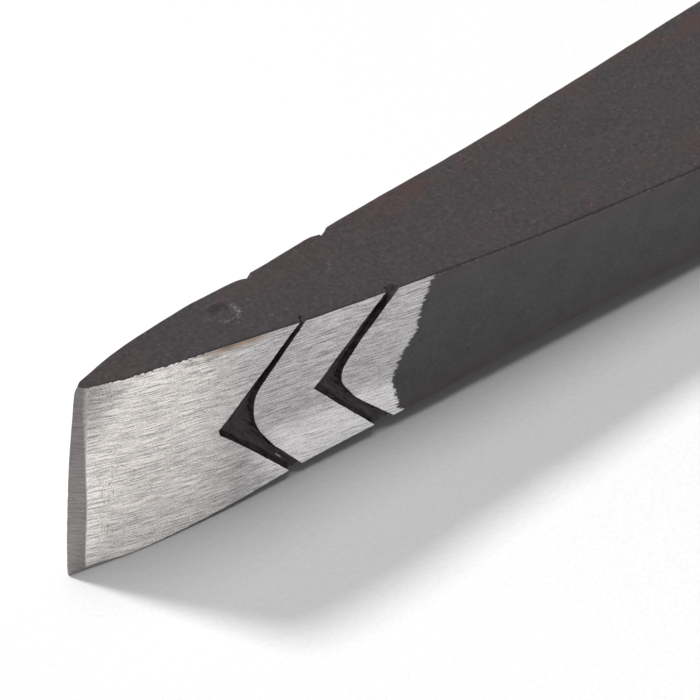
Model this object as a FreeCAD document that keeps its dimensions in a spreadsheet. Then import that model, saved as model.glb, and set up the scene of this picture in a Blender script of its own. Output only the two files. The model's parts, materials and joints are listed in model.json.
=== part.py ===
import FreeCAD, Part
import os

import Sketcher

# A forged carving tool with a wedge-shaped steel blade, cut with two chevron grooves on each
# side, and an octagonal wooden handle.  Millimetres.
#
# Every piece is drawn with the handle's axis on X, the middle of the cutting edge at X = 0 and
# the butt of the handle at the far end.  The blade is cranked: behind the edge it slopes down
# from that axis, and its shank bends back up to the bolster.  One placement then lays the whole
# tool on a bench, where it rests on the lower corner of its edge and on the handle's lower
# front facet, with the blade's lower side nearly flat on the bench.

SIZES = {
    # the honed edge and the height of the bevel behind it
    "edge_height": 10.0,
    "edge_thickness": 0.07,
    # how far the blade slopes down from the handle's axis behind the edge, in degrees
    "blade_pitch": 5.26,
    # how far the edge leans forward at its foot from square to the blade, in degrees
    "edge_skew": 3.2,
    # the blade behind the bevel, as rectangles square to its pitched axis: distance behind the
    # edge, width, height
    "station_1": 0.65, "width_1": 0.46, "height_1": 9.9,
    "station_2": 2.5, "width_2": 1.42, "height_2": 9.71,
    "station_3": 6.2, "width_3": 2.58, "height_3": 9.06,
    "station_4": 10.6, "width_4": 3.52, "height_4": 7.88,
    "station_5": 16.0, "width_5": 4.76, "height_5": 6.92,
    "station_6": 24.0, "width_6": 6.26, "height_6": 5.62,
    "station_7": 36.0, "width_7": 8.38, "height_7": 4.94,
    # the cranked shank, as upright rectangles: station on the handle's axis, width, height and
    # how far the middle lies below that axis
    "station_8": 48.0, "width_8": 9.8, "height_8": 5.1, "drop_8": 3.5,
    "station_9": 64.0, "width_9": 9.6, "height_9": 5.8, "drop_9": 2.7,
    "station_10": 84.0, "width_10": 8.0, "height_10": 6.6, "drop_10": 1.1,
    "station_11": 104.0, "width_11": 7.4, "height_11": 7.2, "drop_11": 0.0,
    # chevron grooves, measured from each chevron's point
    "groove_depth": 0.3,
    "groove_lean": 0.89,
    "groove_overrun": 0.6,
    "throat_1": 1.6, "throat_rise_1": 0.8, "groove_top_1": 0.4, "groove_foot_1": 0.75,
    "throat_2": 1.27, "throat_rise_2": 0.45, "groove_top_2": 0.75, "groove_foot_2": 0.95,
    # bolster and tang, forged in one with the blade
    "bolster_start": 103.0,
    "bolster_neck": 7.0,
    "bolster_inset": 0.7,
    "bolster_cone": 8.0,
    "bolster_crown_length": 2.7,
    "bolster_crown_drop": 1.0,
    "bolster_band": 3.0,
    "tang_length": 70.0,
    "tang_root": 6.4,
    "tang_end": 3.2,
    "tang_clearance": 0.1,
    "tang_end_gap": 2.0,
    # leather washer
    "washer_thickness": 2.5,
    "washer_inset": 0.8,
    "washer_clearance": 0.25,
    # ferrule and the pin that locks it
    "ferrule_length": 14.0,
    "ferrule_diameter": 19.0,
    "ferrule_wall": 1.2,
    "ferrule_chamfer": 0.5,
    "ring_clearance": 0.04,
    "pin_diameter": 1.6,
    "pin_bite": 3.5,
    "pin_recess": 0.05,
    "pin_clearance": 0.03,
    # handle, whose facets stand a lip proud of the ferrule and of the hoop
    "handle_length": 133.5,
    "swell_station": 204.0,
    "shoulder_lip": 0.95,
    "butt_fall": 1.2,
    "butt_lip": 0.3,
    "arris_ease": 0.35,
    "shoulder_turned": 5.0,
    # hoop at the butt
    "hoop_length": 8.0,
    "hoop_wall": 1.4,
    "butt_proud": 1.6,
    "butt_chamfer": 0.8,
}
LAST_PITCHED_SECTION = 7
LAST_SECTION = 11
FACETS = 8
# A rotation keeps its axis only while its angle isn't zero, so a bound angle starts at this.
ANY_ANGLE = 1.0
POCKET_REACH = 5
OUT_DIR = "parts"

doc = FreeCAD.newDocument("parting_tool")
sheet = doc.addObject("Spreadsheet::Sheet", "Sizes")
for row, (alias, value) in enumerate(SIZES.items(), start=1):
    sheet.set(f"A{row}", alias)
    sheet.set(f"B{row}", str(value))
    sheet.setAlias(f"B{row}", alias)
doc.recompute()


def size(name):
    """Expression text for one cell of the sheet."""
    return f"Sizes.{name}"


# Stations along the axis that follow from the sizes.
BOLSTER_BACK = "(Sizes.bolster_start + Sizes.bolster_cone + Sizes.bolster_band)"
HANDLE_FRONT = f"({BOLSTER_BACK} + Sizes.washer_thickness)"
SHOULDER = f"({HANDLE_FRONT} + Sizes.ferrule_length)"
TOOL_END = f"({HANDLE_FRONT} + Sizes.handle_length)"
HOOP_BACK = f"({TOOL_END} - Sizes.butt_proud)"
HOOP_FRONT = f"({HOOP_BACK} - Sizes.hoop_length)"
PIN_STATION = f"({HANDLE_FRONT} + Sizes.ferrule_length / 2)"

# The lower facet in front of the swell lies in the bench plane, which also meets the edge's
# lower corner, so the handle's half height grows in proportion to the distance from there.
FERRULE_RADIUS = "(Sizes.ferrule_diameter / 2)"
FERRULE_BORE = f"({FERRULE_RADIUS} - Sizes.ferrule_wall)"
SHOULDER_HALF = f"({FERRULE_RADIUS} + Sizes.shoulder_lip)"
EDGE_LEAN = "(Sizes.blade_pitch + Sizes.edge_skew)"
CORNER_DROP = f"(Sizes.edge_height / 2 * cos({EDGE_LEAN}))"
CORNER_LEAD = f"(Sizes.edge_height / 2 * sin({EDGE_LEAN}))"
RISE = f"(({SHOULDER_HALF} - {CORNER_DROP}) / ({SHOULDER} + {CORNER_LEAD}))"
TILT = f"atan({RISE})"
SWELL_HALF = f"({CORNER_DROP} + (Sizes.swell_station + {CORNER_LEAD}) * {RISE})"
BUTT_HALF = f"({SWELL_HALF} - Sizes.butt_fall)"
HOOP_RADIUS = f"({BUTT_HALF} - Sizes.butt_lip)"
HOOP_BORE = f"({HOOP_RADIUS} - Sizes.hoop_wall)"
BUTT_RADIUS = f"({HOOP_BORE} - Sizes.ring_clearance)"
BUTT_END_RADIUS = f"({BUTT_RADIUS} - Sizes.butt_chamfer)"
TENON_RADIUS = f"({FERRULE_BORE} - Sizes.ring_clearance)"
WASHER_RADIUS = f"({FERRULE_RADIUS} - Sizes.washer_inset)"
WASHER_BORE = "(Sizes.tang_root / sqrt(2) + Sizes.washer_clearance)"
BOLSTER_RADIUS = f"({WASHER_RADIUS} - Sizes.bolster_inset)"
PIN_LENGTH = "(Sizes.ferrule_wall + Sizes.pin_bite)"
PIN_FOOT = f"({FERRULE_RADIUS} - Sizes.pin_recess - {PIN_LENGTH})"


def origin_plane(body, role):
    """One of the body's own origin planes."""
    return next(item for item in body.Origin.OriginFeatures if item.Role == role)


def new_body(name):
    """A PartDesign body that lies on the bench with the rest of the tool."""
    body = doc.addObject("PartDesign::Body", name)
    body.Label = name
    lay_on_bench(body)
    return body


def lay_on_bench(piece):
    """Tilts a piece about the edge so that edge and handle touch the bench plane."""
    piece.Placement = FreeCAD.Placement(
        FreeCAD.Vector(0, 0, 0), FreeCAD.Rotation(FreeCAD.Vector(0, -1, 0), ANY_ANGLE)
    )
    front = f"({CORNER_DROP} * sin({TILT}) - {CORNER_LEAD} * cos({TILT}))"
    back = f"({TOOL_END} * cos({TILT}) + {BUTT_END_RADIUS} * sin({TILT}))"
    piece.setExpression("Placement.Rotation.Angle", TILT)
    piece.setExpression("Placement.Base.x", f"-({front} + {back}) / 2")
    piece.setExpression(
        "Placement.Base.z", f"{CORNER_DROP} * cos({TILT}) + {CORNER_LEAD} * sin({TILT})"
    )


def new_sketch(body, name, role):
    """An empty sketch on one of the body's origin planes."""
    sketch = body.newObject("Sketcher::SketchObject", name)
    sketch.AttachmentSupport = (origin_plane(body, role), [""])
    sketch.MapMode = "FlatFace"
    return sketch


def evaluate(text):
    """The number that an expression gives with the sheet's present values."""
    value = sheet.evalExpression(text)
    return float(getattr(value, "Value", value))


def bind_point(sketch, name, geometry, end, x, y):
    """Ties one point of a sketch to a pair of expressions."""
    for kind, letter, text in (("DistanceX", "x", x), ("DistanceY", "y", y)):
        constraint = Sketcher.Constraint(kind, -1, 1, geometry, end, evaluate(text))
        index = sketch.addConstraint(constraint)
        sketch.renameConstraint(index, f"{name}_{letter}")
        sketch.setExpression(f"Constraints.{name}_{letter}", text)


def polygon_sketch(body, name, role, points):
    """A closed polygon whose corners are given as pairs of expressions."""
    sketch = new_sketch(body, name, role)
    corners = [FreeCAD.Vector(evaluate(x), evaluate(y), 0) for x, y in points]
    for start, end in zip(corners, corners[1:] + corners[:1]):
        sketch.addGeometry(Part.LineSegment(start, end))
    for i, (x, y) in enumerate(points):
        following = (i + 1) % len(points)
        sketch.addConstraint(Sketcher.Constraint("Coincident", i, 2, following, 1))
        bind_point(sketch, f"corner_{i}", i, 1, x, y)
    return sketch


def circle_sketch(body, name, role, x, y, radius):
    """A circle placed and sized by expressions."""
    sketch = new_sketch(body, name, role)
    centre = FreeCAD.Vector(evaluate(x), evaluate(y), 0)
    sketch.addGeometry(Part.Circle(centre, FreeCAD.Vector(0, 0, 1), evaluate(radius)))
    bind_point(sketch, "centre", 0, 3, x, y)
    index = sketch.addConstraint(Sketcher.Constraint("Radius", 0, evaluate(radius)))
    sketch.renameConstraint(index, "radius")
    sketch.setExpression("Constraints.radius", radius)
    return sketch


def pitched(station, height="0"):
    """Place on the handle's axis and over it of a point given in the blade's pitched frame."""
    cosine, sine = "cos(Sizes.blade_pitch)", "sin(Sizes.blade_pitch)"
    return (f"(({station}) * {cosine} + ({height}) * {sine})",
            f"(({height}) * {cosine} - ({station}) * {sine})")


def pitched_section(body, name, station, width, height, lean="Sizes.blade_pitch"):
    """A rectangle centred on the blade's pitched axis, and square to it unless it leans."""
    along, over = pitched(station)
    sketch = upright_section(body, name, along, width, height)
    sketch.AttachmentOffset = FreeCAD.Placement(
        FreeCAD.Vector(0, 0, 0), FreeCAD.Rotation(FreeCAD.Vector(1, 0, 0), ANY_ANGLE)
    )
    sketch.setExpression("AttachmentOffset.Rotation.Angle", lean)
    sketch.setExpression("AttachmentOffset.Base.y", over)
    sketch.setExpression("AttachmentOffset.Base.z", along)
    return sketch


def upright_section(body, name, station, width, height):
    """A rectangle across the handle's axis, centred on it."""
    corners = [
        (f"{side_y} * {width} / 2", f"{side_z} * {height} / 2")
        for side_y, side_z in ((-1, -1), (1, -1), (1, 1), (-1, 1))
    ]
    sketch = polygon_sketch(body, name, "YZ_Plane", corners)
    sketch.setExpression("AttachmentOffset.Base.z", station)
    return sketch


def loft(body, name, kind, sections):
    """A straight-sided loft through sketches, added to the body or cut from it."""
    feature = body.newObject(f"PartDesign::{kind}", name)
    feature.Profile = sections[0]
    feature.Sections = sections[1:]
    feature.Ruled = True
    return feature


def turned(body, name, kind, points):
    """A profile in the upright plane, turned about the tool's axis."""
    sketch = polygon_sketch(body, f"{name}_profile", "XZ_Plane", points)
    feature = body.newObject(f"PartDesign::{kind}", name)
    feature.Profile = sketch
    feature.ReferenceAxis = (sketch, ["H_Axis"])
    feature.Angle = 360
    return feature


def turned_ring(name, front, back, inner, outer, chamfer="0"):
    """A ring about the axis whose front outer rim may be chamfered."""
    body = new_body(name)
    profile = [(front, inner), (back, inner), (back, outer)]
    if evaluate(chamfer) > 0:
        profile += [(f"{front} + {chamfer}", outer), (front, f"{outer} - {chamfer}")]
    else:
        profile.append((front, outer))
    turned(body, f"{name}_turning", "Revolution", profile)
    return body


def chevron_groove(body, number):
    """One chevron cut in the near side, its floor parallel to the wedge's side face."""
    station = size(f"station_{number + 2}")
    width = size(f"width_{number + 2}")
    next_station = size(f"station_{number + 3}")
    next_width = size(f"width_{number + 3}")
    rise = f"({size(f'height_{number + 2}')} / 2 + Sizes.groove_overrun)"
    run = f"({rise} * Sizes.groove_lean)"
    throat = size(f"throat_{number}")
    throat_rise = size(f"throat_rise_{number}")
    outline = [
        ("0", "0"),
        (run, f"-{rise}"),
        (f"{run} + {size(f'groove_foot_{number}')}", f"-{rise}"),
        (throat, f"-{throat_rise}"),
        (throat, throat_rise),
        (f"{run} + {size(f'groove_top_{number}')}", rise),
        (run, rise),
    ]
    corners = [pitched(x, z) for x, z in outline]
    sketch = polygon_sketch(body, f"chevron_{number}_outline", "XZ_Plane", corners)
    lean = f"atan(({next_width} - {width}) / 2 / ({next_station} - {station}))"
    along, over = pitched(station)
    sketch.AttachmentOffset = FreeCAD.Placement(
        FreeCAD.Vector(0, 0, 0), FreeCAD.Rotation(FreeCAD.Vector(0, -1, 0), ANY_ANGLE)
    )
    sketch.setExpression("AttachmentOffset.Rotation.Angle", lean)
    sketch.setExpression("AttachmentOffset.Base.x", along)
    sketch.setExpression("AttachmentOffset.Base.y", over)
    sketch.setExpression("AttachmentOffset.Base.z", f"{width} / 2 - Sizes.groove_depth")
    pocket = body.newObject("PartDesign::Pocket", f"chevron_{number}")
    pocket.Profile = sketch
    pocket.Reversed = True
    pocket.setExpression("Length", f"Sizes.groove_depth * {POCKET_REACH}")
    return pocket


def make_blade():
    """Edge, wedge, shank, bolster and tang, forged in one piece."""
    body = new_body("blade")
    sections = [pitched_section(body, "edge_line", "0", "Sizes.edge_thickness",
                                "Sizes.edge_height", EDGE_LEAN)]
    for number in range(1, LAST_SECTION + 1):
        make_section = pitched_section if number <= LAST_PITCHED_SECTION else upright_section
        section = make_section(
            body, f"section_{number}", size(f"station_{number}"),
            size(f"width_{number}"), size(f"height_{number}"),
        )
        if number > LAST_PITCHED_SECTION:
            section.setExpression("AttachmentOffset.Base.y", f"-{size(f'drop_{number}')}")
        sections.append(section)
    loft(body, "forging", "AdditiveLoft", sections)
    band_front = "(Sizes.bolster_start + Sizes.bolster_cone)"
    turned(body, "bolster", "Revolution", [
        ("Sizes.bolster_start", "0"),
        ("Sizes.bolster_start", "Sizes.bolster_neck / 2"),
        (f"{band_front} - Sizes.bolster_crown_length",
         f"{BOLSTER_RADIUS} - Sizes.bolster_crown_drop"),
        (band_front, BOLSTER_RADIUS),
        (BOLSTER_BACK, BOLSTER_RADIUS),
        (BOLSTER_BACK, "0"),
    ])
    tang_back = f"{BOLSTER_BACK} + Sizes.tang_length"
    root = upright_section(body, "tang_root_section", BOLSTER_BACK,
                           "Sizes.tang_root", "Sizes.tang_root")
    end = upright_section(body, "tang_end_section", tang_back,
                          "Sizes.tang_end", "Sizes.tang_end")
    loft(body, "tang", "AdditiveLoft", [root, end])
    doc.recompute()
    pockets = [chevron_groove(body, number) for number in (1, 2)]
    doc.recompute()
    mirrored = body.newObject("PartDesign::Mirrored", "far_side_chevrons")
    mirrored.Originals = pockets
    mirrored.MirrorPlane = (origin_plane(body, "XZ_Plane"), [""])
    body.Tip = mirrored
    return body


def make_handle():
    """A turned blank planed to eight facets, with a tenon at each end and a tang hole."""
    body = new_body("handle")
    corner = f"cos({180 / FACETS})"
    turned_to = "Sizes.shoulder_turned"
    butt_rise = f"(Sizes.butt_fall / ({HOOP_FRONT} - Sizes.swell_station))"
    front_half = f"({SHOULDER_HALF} + {turned_to} * {RISE})"
    back_half = f"({BUTT_HALF} + {turned_to} * {butt_rise})"
    turned(body, "blank", "Revolution", [
        (HANDLE_FRONT, "0"),
        (HANDLE_FRONT, TENON_RADIUS),
        (SHOULDER, TENON_RADIUS),
        (SHOULDER, FERRULE_RADIUS),
        (f"{SHOULDER} + {turned_to}", f"{front_half} / {corner} - Sizes.arris_ease"),
        ("Sizes.swell_station", f"{SWELL_HALF} / {corner} - Sizes.arris_ease"),
        (f"{HOOP_FRONT} - {turned_to}", f"{back_half} / {corner} - Sizes.arris_ease"),
        (HOOP_FRONT, HOOP_RADIUS),
        (HOOP_FRONT, BUTT_RADIUS),
        (f"{TOOL_END} - Sizes.butt_chamfer", BUTT_RADIUS),
        (TOOL_END, BUTT_END_RADIUS),
        (TOOL_END, "0"),
    ])
    outside = f"({SWELL_HALF} * 2)"
    facet = polygon_sketch(body, "facet_outline", "XZ_Plane", [
        (SHOULDER, f"-{SHOULDER_HALF}"),
        ("Sizes.swell_station", f"-{SWELL_HALF}"),
        (HOOP_FRONT, f"-{BUTT_HALF}"),
        (HOOP_FRONT, f"-{outside}"),
        (SHOULDER, f"-{outside}"),
    ])
    plane_cut = body.newObject("PartDesign::Pocket", "facet")
    plane_cut.Profile = facet
    plane_cut.Midplane = True
    plane_cut.setExpression("Length", f"{outside} * 2")
    doc.recompute()
    facets = body.newObject("PartDesign::PolarPattern", "facets")
    facets.Originals = [plane_cut]
    facets.Axis = (facet, ["H_Axis"])
    facets.Angle = 360
    facets.Occurrences = FACETS
    body.Tip = facets
    doc.recompute()
    hole_back = f"{BOLSTER_BACK} + Sizes.tang_length + Sizes.tang_end_gap"
    hole_root = "(Sizes.tang_root + 2 * Sizes.tang_clearance)"
    hole_end = "(Sizes.tang_end + 2 * Sizes.tang_clearance)"
    root = upright_section(body, "hole_root_section", BOLSTER_BACK, hole_root, hole_root)
    end = upright_section(body, "hole_end_section", hole_back, hole_end, hole_end)
    loft(body, "tang_hole", "SubtractiveLoft", [root, end])
    doc.recompute()
    pin_hole(body, PIN_FOOT)
    return body


def pin_hole(body, floor):
    """The upright hole that the ferrule pin sits in, from a floor height outwards."""
    radius = "Sizes.pin_diameter / 2 + Sizes.pin_clearance"
    sketch = circle_sketch(body, "pin_hole_outline", "XY_Plane", PIN_STATION, "0", radius)
    sketch.setExpression("AttachmentOffset.Base.z", floor)
    pocket = body.newObject("PartDesign::Pocket", "pin_hole")
    pocket.Profile = sketch
    pocket.Reversed = True
    pocket.setExpression("Length", "Sizes.ferrule_diameter")
    return pocket


def make_ferrule():
    """A ring over the front tenon, pinned from above."""
    body = turned_ring("ferrule", HANDLE_FRONT, SHOULDER, FERRULE_BORE, FERRULE_RADIUS,
                       "Sizes.ferrule_chamfer")
    doc.recompute()
    pin_hole(body, "0")
    return body


def make_pin():
    """A plain round pin through the ferrule into the tenon, its outer end filed flush."""
    body = new_body("ferrule_pin")
    sketch = circle_sketch(body, "pin_outline", "XY_Plane", PIN_STATION, "0",
                           "Sizes.pin_diameter / 2")
    sketch.setExpression("AttachmentOffset.Base.z", PIN_FOOT)
    pad = body.newObject("PartDesign::Pad", "pin")
    pad.Profile = sketch
    pad.setExpression("Length", PIN_LENGTH)
    return body


blade = make_blade()
washer = turned_ring("leather_washer", BOLSTER_BACK, HANDLE_FRONT, WASHER_BORE, WASHER_RADIUS)
ferrule = make_ferrule()
pin = make_pin()
handle = make_handle()
hoop = turned_ring("butt_hoop", HOOP_FRONT, HOOP_BACK, HOOP_BORE, HOOP_RADIUS)
pieces = [blade, washer, ferrule, pin, handle, hoop]

doc.recompute()
for item in doc.Objects:
    if "Invalid" in item.State or "Error" in item.State:
        raise RuntimeError(f"{item.Name} did not build: {item.State}")
for piece in pieces:
    if piece.Shape.isNull() or not piece.Shape.isValid():
        raise RuntimeError(f"{piece.Label} has no valid shape")
    if len(piece.Shape.Solids) != 1:
        raise RuntimeError(f"{piece.Label} is not one solid")

os.makedirs(OUT_DIR, exist_ok=True)
for piece in pieces:
    piece.Shape.exportStep(os.path.join(OUT_DIR, f"{piece.Label}.step"))
    box = piece.Shape.BoundBox
    print(f"{piece.Label}: volume {piece.Shape.Volume:.1f} mm3, "
          f"X {box.XMin:.2f} to {box.XMax:.2f}, Y {box.YMin:.2f} to {box.YMax:.2f}, "
          f"Z {box.ZMin:.2f} to {box.ZMax:.2f}")
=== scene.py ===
import json
import math
import random

import bpy
import numpy as np
from mathutils import Matrix, Vector, noise
from mathutils.geometry import delaunay_2d_cdt


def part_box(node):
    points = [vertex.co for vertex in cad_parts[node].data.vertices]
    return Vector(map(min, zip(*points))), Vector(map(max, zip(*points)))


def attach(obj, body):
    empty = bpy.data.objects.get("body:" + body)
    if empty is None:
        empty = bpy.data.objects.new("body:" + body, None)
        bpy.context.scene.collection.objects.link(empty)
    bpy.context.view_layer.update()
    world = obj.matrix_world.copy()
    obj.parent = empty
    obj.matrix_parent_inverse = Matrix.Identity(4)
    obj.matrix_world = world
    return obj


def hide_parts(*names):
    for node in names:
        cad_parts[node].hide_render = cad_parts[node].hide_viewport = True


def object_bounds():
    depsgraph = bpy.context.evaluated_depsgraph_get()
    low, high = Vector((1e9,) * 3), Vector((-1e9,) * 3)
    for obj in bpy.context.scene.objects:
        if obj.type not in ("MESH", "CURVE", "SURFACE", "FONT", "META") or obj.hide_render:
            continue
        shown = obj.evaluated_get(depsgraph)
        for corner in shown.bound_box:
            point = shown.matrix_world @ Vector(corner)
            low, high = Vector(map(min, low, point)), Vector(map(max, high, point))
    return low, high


# Looks of a forged carving tool: wedge blade with two chevron grooves on each side, leather
# washer, pinned brass ferrule, octagonal ash handle and butt hoop.
#
# Every piece is drawn straight, in millimetres: x is the distance behind the cutting edge along
# the tool's axis, z the height over that axis.  The blade is then cranked, and laid() tilts each
# piece onto the bench as the CAD does.  The vertex attribute "straight" keeps the straight
# coordinates for the materials.

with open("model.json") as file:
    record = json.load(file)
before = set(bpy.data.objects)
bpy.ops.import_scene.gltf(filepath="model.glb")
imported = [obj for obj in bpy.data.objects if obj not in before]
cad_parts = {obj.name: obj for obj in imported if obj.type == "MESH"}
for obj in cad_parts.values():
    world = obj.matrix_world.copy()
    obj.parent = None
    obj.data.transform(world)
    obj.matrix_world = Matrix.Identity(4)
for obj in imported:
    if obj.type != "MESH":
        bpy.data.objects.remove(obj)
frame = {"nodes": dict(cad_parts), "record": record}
CAD_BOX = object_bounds()

MM = 0.001
SEAT_STATION = 123.75
BLADE_COLUMNS = 72
BLADE_TOP_COLUMNS = 34
CORNER_STEPS = 4
TURNED_STEPS = 192


# ---------------------------------------------------------------- frame and meshes

def placement():
    """The tilt that lays the straight tool on the bench, from the record's ferrule mount."""
    seat = next(m for m in frame["record"]["mounts"] if m["name"] == "ferrule_seat")
    cosine, sine = -seat["axis"][0], -seat["axis"][2]
    place = Vector(seat["pos_m"]) - Vector((cosine, 0, sine)) * SEAT_STATION * MM
    return Matrix((
        (cosine, 0, -sine, place.x),
        (0, 1, 0, 0),
        (sine, 0, cosine, place.z),
        (0, 0, 0, 1),
    ))


LAY = placement()


def span(node):
    """Lowest and highest corner of a CAD node in the straight frame, in millimetres."""
    back = LAY.inverted()
    points = np.array([back @ v.co for v in frame["nodes"][node].data.vertices]) / MM
    return points.min(0), points.max(0)


def as_array(mesh):
    """The vertices of a mesh as rows."""
    points = np.empty(len(mesh.vertices) * 3)
    mesh.vertices.foreach_get("co", points)
    return points.reshape(-1, 3)


def straight_mesh(name, points, faces, slots=None):
    """A mesh in straight millimetres, with a material index for each face."""
    mesh = bpy.data.meshes.new(name)
    mesh.from_pydata([tuple(p) for p in points], [], [tuple(f) for f in faces])
    if slots is not None:
        mesh.polygons.foreach_set("material_index", slots)
    mesh.validate()
    return mesh


def write_attribute(mesh, name, kind, values):
    """Stores one value for each vertex under a name that the materials read."""
    layer = mesh.attributes.new(name, kind, "POINT")
    field = "vector" if kind == "FLOAT_VECTOR" else "value"
    layer.data.foreach_set(field, np.asarray(values, np.float32).ravel())


def placed(name, data):
    """A new object in the scene."""
    made = bpy.data.objects.new(name, data)
    bpy.context.scene.collection.objects.link(made)
    return made


def laid(name, mesh, materials, masks=None, crease=28, bend=None):
    """Turns a straight mesh into a finished piece on the bench that stands for its CAD node."""
    points = as_array(mesh)
    write_attribute(mesh, "straight", "FLOAT_VECTOR", points)
    if bend is not None:
        mesh.vertices.foreach_set("co", bend(points).ravel())
    for mask, values in (masks or {}).items():
        write_attribute(mesh, mask, "FLOAT", values)
    mesh.transform(LAY @ Matrix.Scale(MM, 4))
    mesh.polygons.foreach_set("use_smooth", [True] * len(mesh.polygons))
    mesh.set_sharp_from_angle(angle=math.radians(crease))
    mesh.materials.clear()
    for material in materials:
        mesh.materials.append(material)
    piece = placed(name + "_look", mesh)
    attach(piece, "root")
    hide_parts(name)
    return piece


def cut(mesh, cutter):
    """A straight mesh less a straight cutter, both closed."""
    body, tool = placed("cut_body", mesh), placed("cut_tool", cutter)
    step = body.modifiers.new("cut", "BOOLEAN")
    step.operation = "DIFFERENCE"
    step.solver = "EXACT"
    step.object = tool
    depsgraph = bpy.context.evaluated_depsgraph_get()
    result = bpy.data.meshes.new_from_object(body.evaluated_get(depsgraph))
    for item in (body, tool):
        bpy.data.objects.remove(item)
    return result


def smooth_curve(points, start=None):
    """A function through (x, y) points that bends smoothly, with its first slope if given."""
    xs, ys = np.array(points, float).T
    steps = np.diff(xs)
    slopes = np.diff(ys) / steps
    total = slopes[1:] + slopes[:-1]
    product = slopes[1:] * slopes[:-1]
    middle = np.where(product > 0, 2 * product / np.where(product > 0, total, 1), 0)
    first = slopes[0] if start is None else start
    tangents = np.concatenate([[first], middle, slopes[-1:]])

    def curve(x):
        x = np.clip(x, xs[0], xs[-1])
        i = np.clip(np.searchsorted(xs, x) - 1, 0, len(steps) - 1)
        t = (x - xs[i]) / steps[i]
        start = (2 * t**3 - 3 * t**2 + 1) * ys[i] + (t**3 - 2 * t**2 + t) * steps[i] * tangents[i]
        end = (3 * t**2 - 2 * t**3) * ys[i + 1] + (t**3 - t**2) * steps[i] * tangents[i + 1]
        return start + end

    return curve


def smoothstep(low, high, x):
    """0 below low, 1 above high, and an S between them."""
    t = np.clip((np.asarray(x, float) - low) / (high - low), 0, 1)
    return t * t * (3 - 2 * t)


def rough(points, size, seed=0.0, detail=3):
    """Fractal noise of about -1 to 1 at each point, with features of that size in mm."""
    shift = Vector((seed * 17.3, seed * 5.1, seed * 9.7))
    values = [noise.fractal(Vector(p) / size + shift, 1.0, 2.0, detail) for p in points]
    return np.array(values)


def tube_faces(rings, columns, closed):
    """Quads between successive rings of a lofted skin, the last joined to the first if closed."""
    faces = []
    for row in range(rings if closed else rings - 1):
        first = row * columns
        second = ((row + 1) % rings) * columns
        for i in range(columns):
            j = (i + 1) % columns
            faces.append((first + i, second + i, second + j, first + j))
    return faces


# ---------------------------------------------------------------- blade

# Distance behind the edge and full width, then the same with the height.
WIDTH_AT = smooth_curve([
    (-0.4, -0.06), (0, 0.12), (0.65, 0.46), (2.5, 1.42), (6.2, 2.58), (10.6, 3.52), (16, 4.76),
    (24, 6.26), (36, 8.38), (48, 9.8), (64, 9.6), (84, 8.0), (98, 7.4), (103, 7.3),
])
HEIGHT_AT = smooth_curve([
    (0, 10.0), (0.65, 9.9), (2.5, 9.71), (6.2, 9.06), (10.6, 7.88), (16, 6.92), (24, 5.62),
    (36, 4.94), (48, 5.1), (64, 5.8), (84, 6.6), (98, 7.1), (103, 7.3),
])
CORNER_AT = smooth_curve([
    (0, 0.01), (0.65, 0.03), (6, 0.05), (16, 0.06), (24, 0.08), (36, 0.12), (48, 0.5), (64, 1.1),
    (103, 1.5),
])
BOLSTER_AT = smooth_curve([
    (103, 3.65), (104.5, 4.05), (106, 5.2), (107.6, 6.6), (109, 7.5), (110.2, 7.9), (111, 8.0),
    (113.5, 8.0), (114, 7.75),
])
NECK = 103.0
BOLSTER_BACK = 114.0
TANG_LENGTH = 70.0
TANG_ROOT = 3.2
TANG_END = 1.6
# The crank: the blade slopes down behind the edge, and its shank's middle comes back up.
PITCH = math.radians(5.26)
CRANK_START = 36.0
CRANK_SETTLED = 48.0
MIDDLE_AT = smooth_curve([
    (36, -3.3004), (48, -3.53), (64, -2.7), (84, -1.1), (97, -0.22), (103, 0), (104, 0),
], start=-math.sin(PITCH))
# How far the edge and the honed bevel's back line stand behind x = 0, at heights over the axis.
EDGE_LINE = smooth_curve([
    (-5, -0.2), (-4.85, -0.255), (-4.2, -0.27), (-2.8, -0.26), (-0.76, -0.2), (1.36, -0.09),
    (3.4, 0.08), (4.7, 0.2), (4.9, 0.27), (5, 0.37),
])
BEVEL_LINE = smooth_curve([
    (-5, 0.5), (-4.3, 0.47), (-3.4, 0.5), (-1.1, 0.56), (0.4, 0.53), (1.8, 0.53), (3.3, 0.52),
    (5, 0.6),
])
BEVEL_ROW = 0.6
BEND_ENDS = 3.0
EDGE_HALF_THICKNESS = 0.018
BURR = 0.035
# Where the ground part of the side ends: distance behind the edge at heights over the axis.
GROUND_END = smooth_curve([
    (-3.6, 15.15), (-3.1, 14.75), (-2.3, 14.6), (-1.5, 14.4), (-0.7, 14.6), (-0.2, 14.8),
    (0.3, 15.2), (0.8, 15.45), (1.9, 15.6), (3.3, 16.1),
])
PIT_CENTRE = (7.6, 0.25)
PIT_REACH = (0.66, 0.52)

SIDE, SCALE, GROOVE = 0, 1, 2


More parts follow.
